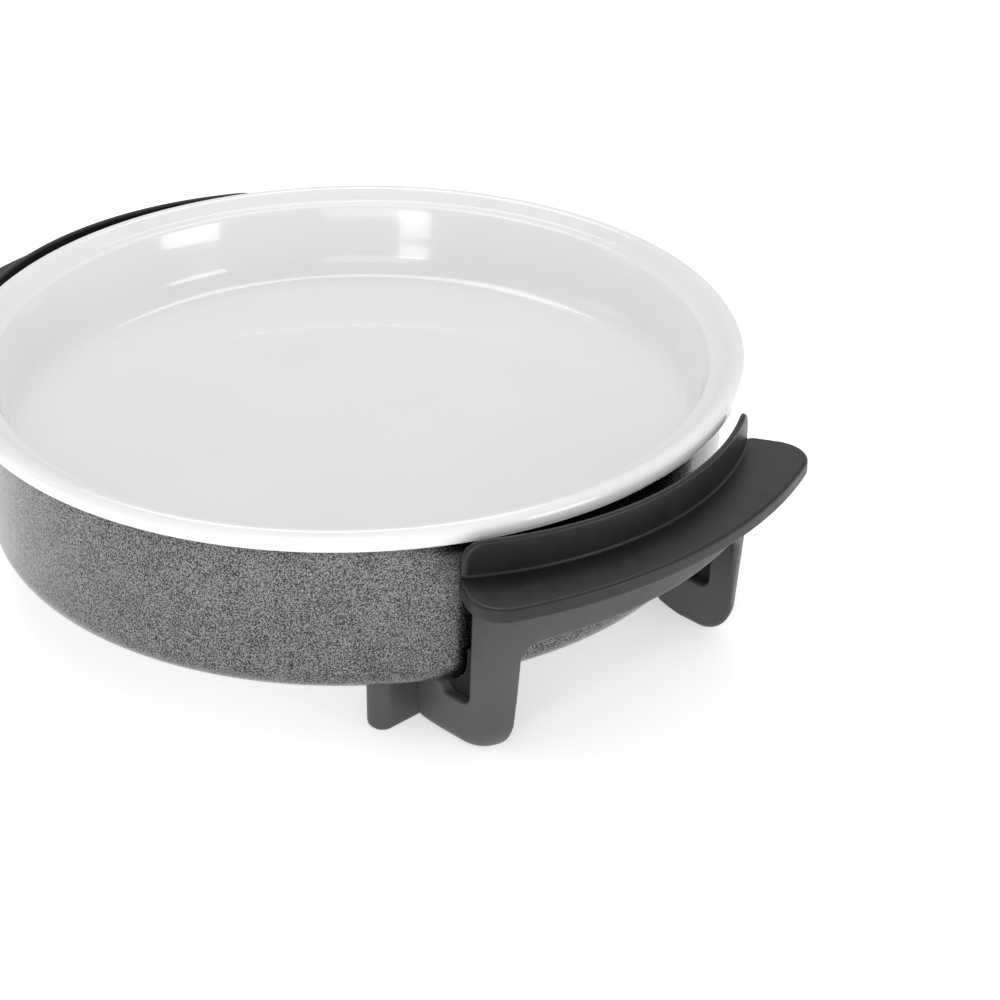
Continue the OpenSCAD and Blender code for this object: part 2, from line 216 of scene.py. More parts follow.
def pull_to_surface(field, points, most, eps=0.02):
    """One Newton step of each point towards field == 0, no longer than `most`."""
    gradient = np.zeros_like(points)
    for i in range(3):
        shift = np.zeros(3)
        shift[i] = eps
        gradient[:, i] = (field(points + shift) - field(points - shift)) / (2 * eps)
    size = np.maximum((gradient ** 2).sum(1), 0.05)
    move = -field(points)[:, None] * gradient / size[:, None]
    length = np.maximum(np.linalg.norm(move, axis=1), 1e-9)
    return points + move * np.minimum(1.0, most / length)[:, None]


# ---------------------------------------------------------------- meshes

def new_object(name, points, faces, smooth=True):
    """Object from points in millimetres and faces."""
    mesh = bpy.data.meshes.new(name)
    mesh.from_pydata([tuple(p) for p in np.asarray(points) * MM], [], [tuple(f) for f in faces])
    mesh.validate()
    mesh.polygons.foreach_set("use_smooth", [smooth] * len(mesh.polygons))
    mesh.update()
    obj = bpy.data.objects.new(name, mesh)
    bpy.context.scene.collection.objects.link(obj)
    return obj


def moulded(name, field, low, high, step):
    """Object meshed from a distance field."""
    points, faces = surface_net(field, low, high, step)
    return new_object(name, points, [tuple(int(i) for i in f) for f in faces])


def arc(x, y, r, start, end, count):
    """Points along an arc, with angles in degrees."""
    angles = np.radians(np.linspace(start, end, count))
    return [(x + r * math.cos(a), y + r * math.sin(a)) for a in angles]


def lathe(name, outline, segments, smooth=True):
    """Closed outline of (radius, height) turned about the Z axis."""
    points, faces, rings = [], [], []
    for r, z in outline:
        if r < 1e-6:
            rings.append([len(points)] * segments)
            points.append((0.0, 0.0, z))
        else:
            rings.append(list(range(len(points), len(points) + segments)))
            for i in range(segments):
                a = 2 * math.pi * i / segments
                points.append((r * math.cos(a), r * math.sin(a), z))
    for j, ring in enumerate(rings):
        after = rings[(j + 1) % len(rings)]
        if ring[0] == ring[1] and after[0] == after[1]:
            continue
        for i in range(segments):
            k = (i + 1) % segments
            corners = [ring[i], ring[k], after[k], after[i]]
            face = tuple(dict.fromkeys(corners))
            if len(face) > 2:
                faces.append(face)
    return new_object(name, points, faces, smooth)


def turned_copy(obj, name):
    """The same piece at the opposite handle."""
    mesh = obj.data.copy()
    mesh.transform(Matrix.Rotation(math.pi, 4, "Z"))
    copy = bpy.data.objects.new(name, mesh)
    bpy.context.scene.collection.objects.link(copy)
    return copy


def cut_away(obj, low, high):
    """Cuts a box, in millimetres, out of a mesh."""
    bm = bmesh.new()
    size = [(b - a) * MM for a, b in zip(low, high)]
    middle = [(a + b) / 2 * MM for a, b in zip(low, high)]
    bmesh.ops.create_cube(bm, size=1.0,
                          matrix=Matrix.Translation(middle) @ Matrix.Diagonal(size + [1.0]))
    mesh = bpy.data.meshes.new("cutter")
    bm.to_mesh(mesh)
    bm.free()
    cutter = bpy.data.objects.new("cutter", mesh)
    bpy.context.scene.collection.objects.link(cutter)
    modifier = obj.modifiers.new("cut", "BOOLEAN")
    modifier.object = cutter
    modifier.solver = "EXACT"
    bake_modifiers(obj)
    bpy.data.objects.remove(cutter)


def bake_modifiers(obj):
    """Applies a piece's modifiers to its mesh."""
    graph = bpy.context.evaluated_depsgraph_get()
    mesh = bpy.data.meshes.new_from_object(obj.evaluated_get(graph))
    obj.modifiers.clear()
    obj.data = mesh


# ---------------------------------------------------------------- materials

class Shader:
    """A Principled material with short helpers for its procedural nodes."""

    def __init__(self, name, **sockets):
        self.material = bpy.data.materials.new(name)
        self.material.use_nodes = True
        self.tree = self.material.node_tree
        self.bsdf = self.tree.nodes["Principled BSDF"]
        for key, value in sockets.items():
            socket = self.bsdf.inputs[key.replace("_", " ")]
            socket.default_value = value if not isinstance(value, tuple) else (*value, 1.0)

    def node(self, kind, **values):
        made = self.tree.nodes.new(kind)
        for key, value in values.items():
            if hasattr(made, key):
                setattr(made, key, value)
            else:
                made.inputs[key.replace("_", " ")].default_value = value
        return made

    def link(self, out_socket, in_socket):
        self.tree.links.new(out_socket, in_socket)

    def place(self):
        """Object coordinates: metres, fixed to the piece."""
        return self.node("ShaderNodeTexCoord").outputs["Object"]

    def noise(self, scale, detail=2.0, roughness=0.5, distortion=0.0, at=None):
        made = self.node("ShaderNodeTexNoise", Scale=scale, Detail=detail,
                         Roughness=roughness, Distortion=distortion)
        self.link(at or self.place(), made.inputs["Vector"])
        return made.outputs["Fac"]

    def ramp(self, value, *stops, interpolation="LINEAR"):
        made = self.node("ShaderNodeValToRGB")
        made.color_ramp.interpolation = interpolation
        elements = made.color_ramp.elements
        while len(elements) < len(stops):
            elements.new(0.5)
        for element, (position, colour) in zip(elements, stops):
            element.position = position
            level = colour if isinstance(colour, tuple) else (colour,) * 3
            element.color = (*level, 1.0)
        self.link(value, made.inputs["Fac"])
        return made.outputs["Color"]

    def span(self, value, low, high, start=0.0, end=1.0):
        """Maps value from start..end to low..high."""
        made = self.node("ShaderNodeMapRange")
        made.inputs["From Min"].default_value = start
        made.inputs["From Max"].default_value = end
        made.inputs["To Min"].default_value = low
        made.inputs["To Max"].default_value = high
        self.link(value, made.inputs["Value"])
        return made.outputs["Result"]

    def mix(self, factor, a, b, blend="MIX"):
        made = self.node("ShaderNodeMix", data_type="RGBA", blend_type=blend)
        if isinstance(factor, float):
            made.inputs["Factor"].default_value = factor
        else:
            self.link(factor, made.inputs["Factor"])
        for key, value in (("A", a), ("B", b)):
            socket = [s for s in made.inputs if s.name == key and s.type == "RGBA"][0]
            if isinstance(value, tuple):
                socket.default_value = (*value, 1.0)
            else:
                self.link(value, socket)
        return [s for s in made.outputs if s.type == "RGBA"][0]

    def bump(self, height, strength, distance, under=None):
        made = self.node("ShaderNodeBump", Strength=strength, Distance=distance)
        self.link(height, made.inputs["Height"])
        if under is not None:
            self.link(under, made.inputs["Normal"])
        return made.outputs["Normal"]

    def set(self, socket, value):
        self.link(value, self.bsdf.inputs[socket])


def ceramic():
    """Glossy white sol-gel coating: faint orange peel, faint tone drift."""
    s = Shader("white_ceramic", Roughness=0.14, Coat_Weight=0.55, Coat_Roughness=0.04,
               Specular_IOR_Level=0.5)
    drift = s.noise(9.0, 3.0)
    s.set("Base Color", s.ramp(drift, (0.3, (0.80, 0.80, 0.797)), (0.7, (0.835, 0.835, 0.832))))
    s.set("Roughness", s.span(s.noise(60.0, 3.0), 0.11, 0.19))
    s.set("Normal", s.bump(s.noise(420.0, 1.0), 0.05, 0.0004))
    return s.material


def hammered_paint():
    """Dark enamel with a skin of small silver worms, each one a low bead of metallic flake, its
    colour darkened as painted shade wherever other parts are close.
    """
    s = Shader("hammered_enamel", Roughness=0.3, Coat_Weight=0.35, Coat_Roughness=0.12)
    place = s.place()
    worms = s.noise(1500.0, 1.2, 0.5, 0.8, at=place)
    patches = s.noise(70.0, 2.0, 0.5, 0.0, at=place)
    level = s.node("ShaderNodeMath", operation="MULTIPLY_ADD")
    s.link(patches, level.inputs[0])
    level.inputs[1].default_value = 0.08
    s.link(worms, level.inputs[2])
    fleck = s.ramp(level.outputs[0], (0.47, 0.0), (0.64, 1.0), interpolation="EASE")
    paint = s.mix(fleck, (0.019, 0.019, 0.0195), (0.265, 0.267, 0.27))
    # painted shade: an ambient occlusion ramp darkens the paint's colour wherever another part lies
    # within 30 mm
    nearby = s.node("ShaderNodeAmbientOcclusion", Distance=0.03, samples=8)
    painted_contact_shade = s.ramp(nearby.outputs["AO"], (0.45, 0.10), (0.85, 1.0))
    s.set("Base Color", s.mix(1.0, paint, painted_contact_shade, blend="MULTIPLY"))
    s.set("Metallic", s.span(fleck, 0.85, 1.0))
    s.set("Roughness", s.span(fleck, 0.20, 0.30))
    s.set("Normal", s.bump(level.outputs[0], 0.25, 0.0005))
    return s.material


def moulded_plastic(name, colour, roughness, grain=0.12):
    """Phenolic or plastic moulding: spark grain, faint flow tone, slightly polished high spots."""
    s = Shader(name, Roughness=roughness, Specular_IOR_Level=0.42)
    place = s.place()
    flow = s.noise(14.0, 4.0, 0.55, 0.6, at=place)
    light = tuple(min(1.0, c * 1.22 + 0.002) for c in colour)
    dark = tuple(c * 0.86 for c in colour)
    s.set("Base Color", s.mix(s.span(flow, 0.0, 1.0, 0.3, 0.7), dark, light))
    fine = s.noise(1500.0, 2.0, 0.6, 0.0, at=place)
    s.set("Roughness", s.span(s.noise(90.0, 3.0, 0.6, 0.0, at=place),
                              roughness - 0.06, roughness + 0.07, 0.3, 0.7))
    s.set("Normal", s.bump(fine, grain, 0.0002))
    return s.material


def bright_metal(name, colour, roughness, brushed=0.0):
    """Plated or bare metal with fine scratches and cloudy tone."""
    s = Shader(name, Metallic=1.0, Roughness=roughness)
    place = s.place()
    cloud = s.noise(70.0, 3.0, 0.6, 0.0, at=place)
    dark = tuple(c * 0.82 for c in colour)
    s.set("Base Color", s.mix(s.span(cloud, 0.0, 1.0, 0.3, 0.7), dark, colour))
    s.set("Roughness", s.span(s.noise(240.0, 4.0, 0.7, 0.0, at=place),
                              roughness - 0.08, roughness + 0.10, 0.3, 0.7))
    s.set("Normal", s.bump(s.noise(900.0, 3.0, 0.6, brushed, at=place), 0.06, 0.0002))
    return s.material


def felted_wool():
    """Mineral wool of the insulation pad."""
    s = Shader("felted_wool", Roughness=0.95)
    place = s.place()
    fibres = s.noise(700.0, 6.0, 0.75, 2.0, at=place)
    s.set("Base Color", s.ramp(fibres, (0.3, (0.45, 0.40, 0.30)), (0.7, (0.80, 0.75, 0.62))))
    s.set("Normal", s.bump(fibres, 0.6, 0.001))
    return s.material


def red_lens():
    """Clear red plastic over the lamp."""
    s = Shader("red_lens", Base_Color=(0.75, 0.03, 0.015), Roughness=0.12,
               Transmission_Weight=0.55, IOR=1.49)
    s.set("Normal", s.bump(s.noise(500.0, 1.0), 0.04, 0.0003))
    return s.material


def white_print():
    """Ink of the dial's marks, a little worn."""
    s = Shader("white_print", Roughness=0.5)
    worn = s.noise(900.0, 3.0)
    s.set("Base Color", s.ramp(worn, (0.3, 0.62), (0.6, 0.80)))
    return s.material


CERAMIC = ceramic()
ENAMEL = hammered_paint()
# grip, bracket and rail are one phenolic; the grip's darker tone is painted shade and the bracket's
# and rail's lighter tone is painted light, set for how light falls on each
GRIP_SHADED = moulded_plastic("phenolic_painted_shade", (0.0085, 0.0085, 0.009), 0.40)
BRACKET_LIT = moulded_plastic("phenolic_painted_light", (0.058, 0.058, 0.060), 0.42)
# near-black colour for the ribs that paint shadow into the bracket notches
SHADOW_BLACK = moulded_plastic("painted_shadow_black", (0.004, 0.004, 0.004), 0.8)
CASE = moulded_plastic("case_plastic", (0.020, 0.020, 0.022), 0.45)
DIAL = moulded_plastic("dial_plastic", (0.014, 0.014, 0.015), 0.36, 0.06)
PHENOLIC = moulded_plastic("brown_phenolic", (0.16, 0.09, 0.05), 0.5)
IVORY = moulded_plastic("ivory_plastic", (0.62, 0.56, 0.42), 0.45)
ZINC = bright_metal("zinc_sheet", (0.62, 0.63, 0.64), 0.38)
SCREW = bright_metal("screw_steel", (0.55, 0.55, 0.56), 0.30)
BLACK_SCREW = bright_metal("blackened_screw_steel", (0.060, 0.060, 0.064), 0.42)
ALUMINIUM = bright_metal("cast_aluminium", (0.70, 0.70, 0.71), 0.45)
SHEATH = bright_metal("oxidised_sheath", (0.16, 0.15, 0.14), 0.5)
NICKEL = bright_metal("nickel_plate", (0.66, 0.63, 0.58), 0.2)
BRASS = bright_metal("bare_brass", (0.75, 0.56, 0.26), 0.3)
WOOL = felted_wool()
LENS = red_lens()
PRINT = white_print()


def dress(obj, material):
    """Gives every face of an object one material."""
    obj.data.materials.clear()
    obj.data.materials.append(material)
    return obj


def piece(obj, body, material, slot, *nodes):
    """A visual piece: its body, material and the CAD nodes it stands for; the slot argument is not
    used.
    """
    dress(obj, material)
    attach(obj, body)
    if nodes:
        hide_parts(*nodes)
    return obj


# ---------------------------------------------------------------- dish and shell

def dish_outline():
    """Dish in section: floor, fillet, leaning wall, lid step, rolled rim, and back underneath."""
    fx = LEDGE_R - DISH_FILLET * math.cos(WALL_LEAN)
    fx -= (LEDGE_Z - FLOOR_Z - DISH_FILLET * (1 - math.sin(WALL_LEAN))) * math.tan(WALL_LEAN)
    lean = math.degrees(WALL_LEAN)
    under = LEDGE_Z - DISH_T + 0.3
    up = [(0.0, FLOOR_Z), (30.0, FLOOR_Z), (80.0, FLOOR_Z), (130.0, FLOOR_Z), (fx - 8, FLOOR_Z)]
    up += arc(fx, FLOOR_Z + DISH_FILLET, DISH_FILLET, -90, -lean, 16)
    wall_low = up[-1]
    up += [(wall_low[0] + (LEDGE_R - 1.2 - wall_low[0]) * t,
            wall_low[1] + (LEDGE_Z - 3.2 - wall_low[1]) * t) for t in (0.33, 0.66, 1.0)]
    up += arc(LEDGE_R + 2.0, LEDGE_Z - 2.2, 2.6, 165, 95, 8)
    up += [(LEDGE_R + 4.6, LEDGE_Z + 0.55)]
    roll_z = RIM_Z - 4.6
    up += arc(LEDGE_R + 5.0, LEDGE_Z + 3.2, 2.6, 280, 318, 5)
    up += arc(RIM_R - 5.0, roll_z - 0.4, 5.0, 128, 0, 22)
    up += arc(RIM_R - 3.6, RIM_Z - 6.9, 3.6, 0, -90, 10)
    up += [(RIM_R - 6.5, RIM_Z - 10.4), (RIM_R - 8.8, RIM_Z - 10.2), (RIM_R - 9.6, under)]
    up += [(LEDGE_R + 2.3, under)]
    up += arc(fx, FLOOR_Z + DISH_FILLET, DISH_FILLET + DISH_T, -lean, -90, 12)
    up += [(80.0, FLOOR_Z - DISH_T), (0.0, FLOOR_Z - DISH_T)]
    return up


def shell_outline():
    """Shell in section: flange, rounded lower edge, wall, turned-in top, and back inside."""
    middle = (SHELL_LOW_R - SHELL_FILLET, SHELL_Z + SHELL_FILLET)
    outer = [(FLANGE_R, SHELL_Z)] + arc(*middle, SHELL_FILLET, -90, 0, 16)
    low = outer[-1]
    outer += [(low[0] + (SHELL_R - low[0]) * t, low[1] + (SHELL_TOP - 1.0 - low[1]) * t)
              for t in (0.2, 0.4, 0.6, 0.8, 1.0)]
    outer += [(SHELL_R - 0.3, SHELL_TOP - 0.3), (SHELL_R - 1.0, SHELL_TOP)]
    inner = [(SHELL_R - 3.2, SHELL_TOP), (SHELL_R - 3.2, SHELL_TOP - SHELL_T),
             (SHELL_R - SHELL_T, SHELL_TOP - SHELL_T)]
    inner += arc(*middle, SHELL_FILLET - SHELL_T, 0, -90, 10)
    return outer + inner + [(FLANGE_R, SHELL_Z + SHELL_T)]


piece(lathe("dish_coated", dish_outline(), 288), "pan", CERAMIC, "white_coating", "dish")
shell = lathe("shell_painted", shell_outline(), 288)
cut_away(shell, (-200.0, -SOCKET_HALF_W, PLUG_Z - SOCKET_HALF_H),
         (-170.0, SOCKET_HALF_W, PLUG_Z + SOCKET_HALF_H))
piece(shell, "pan", ENAMEL, "hammered_paint", "shell")


# ---------------------------------------------------------------- handles

def grip_field(p):
    """Flat curved grip with its upright heat guard."""
    x, y, z = p[..., 0], np.abs(p[..., 1]), p[..., 2]
    radius = np.hypot(x - ARC_X, y)
    outer = np.hypot(x, y) - GRIP_R
    inner = ARC_R - GUARD_T - radius
    end = y * math.cos(GRIP_HALF) - x * math.sin(GRIP_HALF)
    plan = rmax(rmax(outer, end, GRIP_OUTER_CORNER), inner, GRIP_INNER_CORNER)
    plate = rmax(rmax(plan, z - GRIP_Z, 1.7), GRIP_UNDER - z, 1.2)
    front = rmax(y - GUARD_HALF, z - GUARD_Z, GUARD_CORNER)
    middle = ARC_R - GUARD_T / 2
    wall = rmax(np.abs(radius - middle) - GUARD_T / 2, front, 1.2)
    wall = rmax(wall, GRIP_UNDER + 2.0 - z, 0.2)
    return rmin(plate, wall, 1.0)


def bracket_field(p):
    """Skirt with two legs, each with a web that runs in under the shell."""
    x, y, z = p[..., 0], np.abs(p[..., 1]), p[..., 2]
    radius = np.hypot(x, y)
    drop = np.clip(SKIRT_Z - z, 0.0, None)
    outer = rmax(radius - LEG_R + LEG_LEAN * drop, -z, LEG_ROUND)
    side_out = y - LEG_Y - LEG_W / 2
    side_in = LEG_Y - LEG_W / 2 - y
    front = rmax(outer, rmin(side_in, SKIRT_Z - z, 9.0), 3.0)
    front = rmax(front, side_out, 7.0)

    lift = np.clip((WEB_STEP_R - radius) / WEB_STEP, 0.0, 1.0)
    top = z - WEB_Z - (SHELL_Z - WEB_Z) * lift * lift * (3 - 2 * lift)
    low = np.clip((WEB_END + 14.0 - radius) * WEB_SLOPE, 0.0, None) - z
    web = rmax(rmax(top, low, 2.5), WEB_END - radius, 2.5)
    inner = LEG_R - LEG_T - LEG_INNER_LEAN * (GRIP_UNDER - z) - radius
    leg = rmax(rmax(front, rmin(inner, web, 5.0), 1.5), side_in, 3.0)
    skirt = rmax(front, SKIRT_R - SKIRT_T - radius, 1.0)
    solid = rmax(rmin(leg, skirt, 2.0), front, 0.0)

    middle = (SKIRT_R - SKIRT_T + 1.0 + LEDGE_OUT) / 2
    ledge = rmax(np.abs(radius - middle) - (LEDGE_OUT - middle),
                 GRIP_UNDER - LEDGE_DEPTH - z, 1.0)
    ledge = rmax(ledge, side_out + 0.5, 4.0)
    solid = rmax(rmin(solid, ledge, 1.0), z - GRIP_UNDER, 0.6)
    hole = np.maximum(np.hypot(x - SCREW_X, y - LEG_Y) - SCREW_BORE_R, z - SCREW_SEAT)
    return rmax(rmax(solid, -hole, 0.5), -z, 0.8)


def rail_field(p):
    """Bar whose ends are feet, with its middle raised."""
    x, y, z = p[..., 0], np.abs(p[..., 1]), p[..., 2]
    cx = (RAIL_LOW[0] + RAIL_HIGH[0]) / 2
    half_w = (RAIL_HIGH[0] - RAIL_LOW[0]) / 2
    plan = rounded_rect(x - cx, y, half_w, RAIL_HIGH[1], 6.5)
    bar = rmax(plan, z - RAIL_HIGH[2], 0.8)
    bar = rmax(bar, -z, 3.0)
    arch = rmax(y - RAIL_HIGH[1] + RAIL_FOOT, z - RAIL_ARCH_Z, 4.0)
    bar = rmax(bar, -arch, 1.5)
    hole = np.maximum(np.hypot(x - cx, y - RAIL_SCREW_Y) - SCREW_BORE_R, z - SCREW_SEAT)
    return rmax(bar, -hole, 0.5)


def handle_pieces():
    """Grip, bracket and foot rail of the right handle, and the same turned round for the left."""
    step = 0.8
    margin = 3.0
    parts = (
        ("grip", grip_field, GRIP_LOW, GRIP_HIGH, GRIP_SHADED, "grip_plastic"),
        ("bracket", bracket_field, BRACKET_LOW, BRACKET_HIGH, BRACKET_LIT, "bracket_plastic"),
        ("foot_rail", rail_field, RAIL_LOW, RAIL_HIGH, BRACKET_LIT, "bracket_plastic"),
    )
    for name, field, low, high, material, slot in parts:
        right = moulded(name + "_right_moulded", field, low - margin, high + margin, step)
        left = turned_copy(right, name + "_left_moulded")
        piece(right, "pan", material, slot, name + "_right")
        piece(left, "pan", material, slot, name + "_left")


handle_pieces()


def painted_shadow_ribs():
    """Thin near-black ribs that close the notches between the legs, their webs and the shell: a
    painted shadow standing in for the shade under the pan.
    """
    outline = ((174.4, 24.2), (197.0, 24.2), (197.0, 52.0), (187.8, 52.0), (187.5, 43.3),
               (186.6, 39.6), (184.2, 35.2), (180.4, 32.0), (174.4, 30.2))
    points, faces = [], []
    count = len(outline)
    for side in (1, -1):
        for y in (LEG_Y, -LEG_Y):
            first = len(points)
            for offset in (-SHADOW_RIB_T / 2, SHADOW_RIB_T / 2):
                for r, z in outline:
                    points.append((side * math.sqrt(r * r - y * y), y + offset, z))
            ring = list(range(first, first + count))
            faces += [tuple(ring), tuple(i + count for i in reversed(ring))]
            faces += [(ring[i], ring[(i + 1) % count], ring[(i + 1) % count] + count,
                       ring[i] + count) for i in range(count)]
    return new_object("painted_shadow_ribs", points, faces, smooth=False)


# painted shadow: dark ribs in the bracket notches
piece(painted_shadow_ribs(), "pan", SHADOW_BLACK, "bracket_plastic")


# ---------------------------------------------------------------- plug-in control

CASE_X = (CASE_LOW[0], CASE_HIGH[0])
CASE_HALF = CASE_HIGH[1]
CASE_Z = CASE_LOW[2]
SEAM_Z = CASE_HIGH[2]
CASE_TOP = CASE_TOP_HIGH[2]
CASE_T = 2.2
CASE_ROUND = 9.0
BOSS_R = 4.6
CASE_HOLE_R = 1.6
CASE_HEAD_R = 3.2
NOSE_HALF_W = 22.6
NOSE_HALF_H = 10.4
GLAND_HOLE_R = 6.1
LAMP_HOLE_R = 2.7
SHAFT_HOLE_R = 3.55
SHAFT_TOP = 69.0
DIAL_X = (DIAL_LOW[0] + DIAL_HIGH[0]) / 2
DIAL_R = DIAL_HIGH[0] - DIAL_X
DIAL_Z = DIAL_LOW[2]
FLANGE_Z = DIAL_Z + 3.0
RIDGE_Z = DIAL_Z + 12.5
FLUTES = 24
FLUTE_DEPTH = 0.55
LAMP_X = DIAL_X + DIAL_R + 5.5
CASE_SCREWS = ((CASE_X[1] - 22.0, 21.0), (CASE_X[0] + 8.0, 19.0))


def case_shell(p, low, high, r_low, r_high):
    """One half of the case: a tray with screw bosses, its nose and gland let through."""
    x, y, z = p[..., 0], p[..., 1], p[..., 2]
    middle, half = sum(CASE_X) / 2, (CASE_X[1] - CASE_X[0]) / 2
    plan = rounded_rect(x - middle, y, half, CASE_HALF, CASE_ROUND)
    outer = rmax(rmax(plan, z - high, r_high), low - z, r_low)
    inner = rmax(plan + CASE_T, z - (CASE_TOP - CASE_T), 2.0)
    inner = rmax(inner, CASE_Z + CASE_T - z, 2.0)
    half_case = rmax(outer, -inner, 0.3)
    for sx, sy in CASE_SCREWS:
        r = np.hypot(x - sx, np.abs(y) - sy)
        boss = np.maximum(np.maximum(r - BOSS_R, low + 0.8 - z), z - high + 0.8)
        half_case = rmin(half_case, boss, 0.8)
        half_case = rmax(half_case, -np.maximum(r - CASE_HOLE_R, z - CASE_TOP + 3.0), 0.2)
        half_case = rmax(half_case, -np.maximum(r - CASE_HEAD_R, z - CASE_Z - 4.0), 0.4)
    nose = np.maximum(np.abs(y) - NOSE_HALF_W, np.abs(z - PLUG_Z) - NOSE_HALF_H)
    nose = np.maximum(nose, CASE_X[1] - 12 - x)
    gland = np.maximum(np.hypot(y, z - GLAND_Z) - GLAND_HOLE_R, x - CASE_X[0] - 5)
    return rmax(half_case, -np.minimum(nose, gland), 0.3)


def case_bottom_field(p):
    """Lower half, with a row of vent slots on each side."""
    x, y, z = p[..., 0], np.abs(p[..., 1]), p[..., 2]
    tray = case_shell(p, CASE_Z, SEAM_Z, 3.0, 0.35)
    pitch = np.abs((x - DIAL_X + 3.0) % 6.0 - 3.0)
    slot = rounded_rect(pitch, z - 33.0, 1.1, 6.0, 1.0)
    slot = np.maximum(slot, np.abs(x - DIAL_X - 8.0) - 15.0)
    slot = np.maximum(slot, CASE_HALF - 0.9 - y)
    return rmax(tray, -slot, 0.3)


def case_top_field(p):
    """Lid with a raised collar round the dial, a lamp hole and grip ridges at the back."""
    x, y, z = p[..., 0], p[..., 1], p[..., 2]
    lid = case_shell(p, SEAM_Z, CASE_TOP, 0.35, 3.5)
    r = np.hypot(x - DIAL_X, y)
    groove = np.maximum(np.abs(r - DIAL_R - 2.2) - 0.5, CASE_TOP - 0.5 - z)
    lid = rmax(lid, -groove, 0.2)
    hub = np.maximum(np.maximum(r - 7.0, CASE_TOP - 6.0 - z), z - CASE_TOP + 1.0)
    lid = rmin(lid, hub, 0.6)
    lid = rmax(lid, SHAFT_HOLE_R - r, 0.2)
    ridges = np.hypot((x - CASE_X[1] + 14.0 + 2.0) % 4.0 - 2.0, z - CASE_TOP - 0.3) - 0.9
    ridges = np.maximum(np.maximum(ridges, np.abs(x - CASE_X[1] + 16.0) - 10.0), np.abs(y) - 16.0)
    lid = rmax(lid, -ridges, 0.3)
    return rmax(lid, LAMP_HOLE_R - np.hypot(x - LAMP_X, y), 0.3)


def dial_field(p):
    """Fluted knob on a flat flange, with a pointer ridge."""
    x, y, z = p[..., 0] - DIAL_X, p[..., 1], p[..., 2]
    r, turn = np.hypot(x, y), np.arctan2(y, x)
    flange = rmax(rmax(r - DIAL_R, z - FLANGE_Z, 1.0), DIAL_Z - z, 0.5)
    lean = 0.06 * (z - FLANGE_Z)
    flutes = FLUTE_DEPTH * np.cos(FLUTES * turn)
    knob = rmax((r - DIAL_R + 3.1 + lean - flutes) * 0.85, z - RIDGE_Z + 1.0, 1.6)
    knob = rmax(knob, DIAL_Z + 1.0 - z, 0.2)
    dished = np.hypot(r, z - DIAL_Z - 60.5) - 49.7
    knob = rmax(knob, -dished, 0.8)
    ridge = rmax(rounded_rect(x - 6.5, y, 7.0, 1.2, 1.1), z - RIDGE_Z, 0.5)
    ridge = np.maximum(ridge, DIAL_Z + 8.0 - z)
    solid = rmin(rmin(flange, knob, 1.0), ridge, 0.6)
    return rmax(solid, -np.maximum(r - SHAFT_HOLE_R, z - SHAFT_TOP), 0.2)


def ring_marks(name, radius, length, width, low, high, angles):
    """Printed bars set radially about the dial's axis."""
    points, faces = [], []
    for angle in angles:
        a = math.radians(angle)
        out, side = Vector((math.cos(a), math.sin(a))), Vector((-math.sin(a), math.cos(a)))
        first = len(points)
        for z in (low, high):
            for u, v in ((0, -1), (1, -1), (1, 1), (0, 1)):
                q = out * (radius + u * length) + side * (v * width / 2)
                points.append((DIAL_X + q.x, q.y, z))
        faces += [tuple(first + i for i in f) for f in (
            (0, 3, 2, 1), (4, 5, 6, 7), (0, 1, 5, 4), (1, 2, 6, 5), (2, 3, 7, 6), (3, 0, 4, 7))]
    return new_object(name, points, faces, smooth=False)


def gland_outline():
    """Strain relief in section: a flange on each side of the wall and a ribbed sleeve."""
    outer = [(6.0, -2.6), (6.0, -0.2), (7.4, -0.1), (8.0, 0.5), (8.0, 2.2), (7.3, 3.0)]
    for i in range(4):
        z = 3.0 + 2.2 * i
        r = 6.4 - 0.3 * i
        outer += [(r - 0.9, z + 0.3), (r - 0.9, z + 0.9), (r, z + 1.2), (r, z + 1.9)]
    outer += [(5.2, 12.0), (4.0, 12.0), (3.6, 11.6), (3.6, -5.0), (7.8, -5.0), (8.0, -4.8),
              (8.0, -2.8), (7.8, -2.6)]
    return outer


def control_pieces():
    """Case, dial with its printed marks, and gland of the plug-in control."""
    step = 0.6
    for name, field, low, high in (
            ("case_bottom", case_bottom_field, CASE_LOW, CASE_HIGH),
            ("case_top", case_top_field, CASE_TOP_LOW, CASE_TOP_HIGH)):
        obj = moulded(name + "_moulded", field, low - 2.0, high + 2.0, step)
        piece(obj, "control", CASE, "case_plastic", name)
    dial = moulded("dial_moulded", dial_field, DIAL_LOW - 1.5, DIAL_HIGH + 1.5, 0.6 * step)
    piece(dial, "dial", DIAL, "dial_plastic", "control_dial")
    scale = ring_marks("dial_scale", 14.9, 1.5, 0.55, FLANGE_Z - 0.1, FLANGE_Z + 0.04,
                       range(0, 271, 30))
    piece(scale, "dial", PRINT, "dial_plastic")
    pointer = ring_marks("dial_pointer", 6.0, 6.5, 0.9, RIDGE_Z - 0.1, RIDGE_Z + 0.1, [0])
    piece(pointer, "dial", PRINT, "dial_plastic")
    gland = lathe("gland_ribbed", gland_outline(), 64)
    gland.data.transform(Matrix.Translation((CASE_X[0] * MM, 0, GLAND_Z * MM))
                         @ Matrix.Rotation(-math.pi / 2, 4, "Y"))
    piece(gland, "control", CASE, "case_plastic", "cord_gland")


control_pieces()


# ---------------------------------------------------------------- carried-over CAD nodes

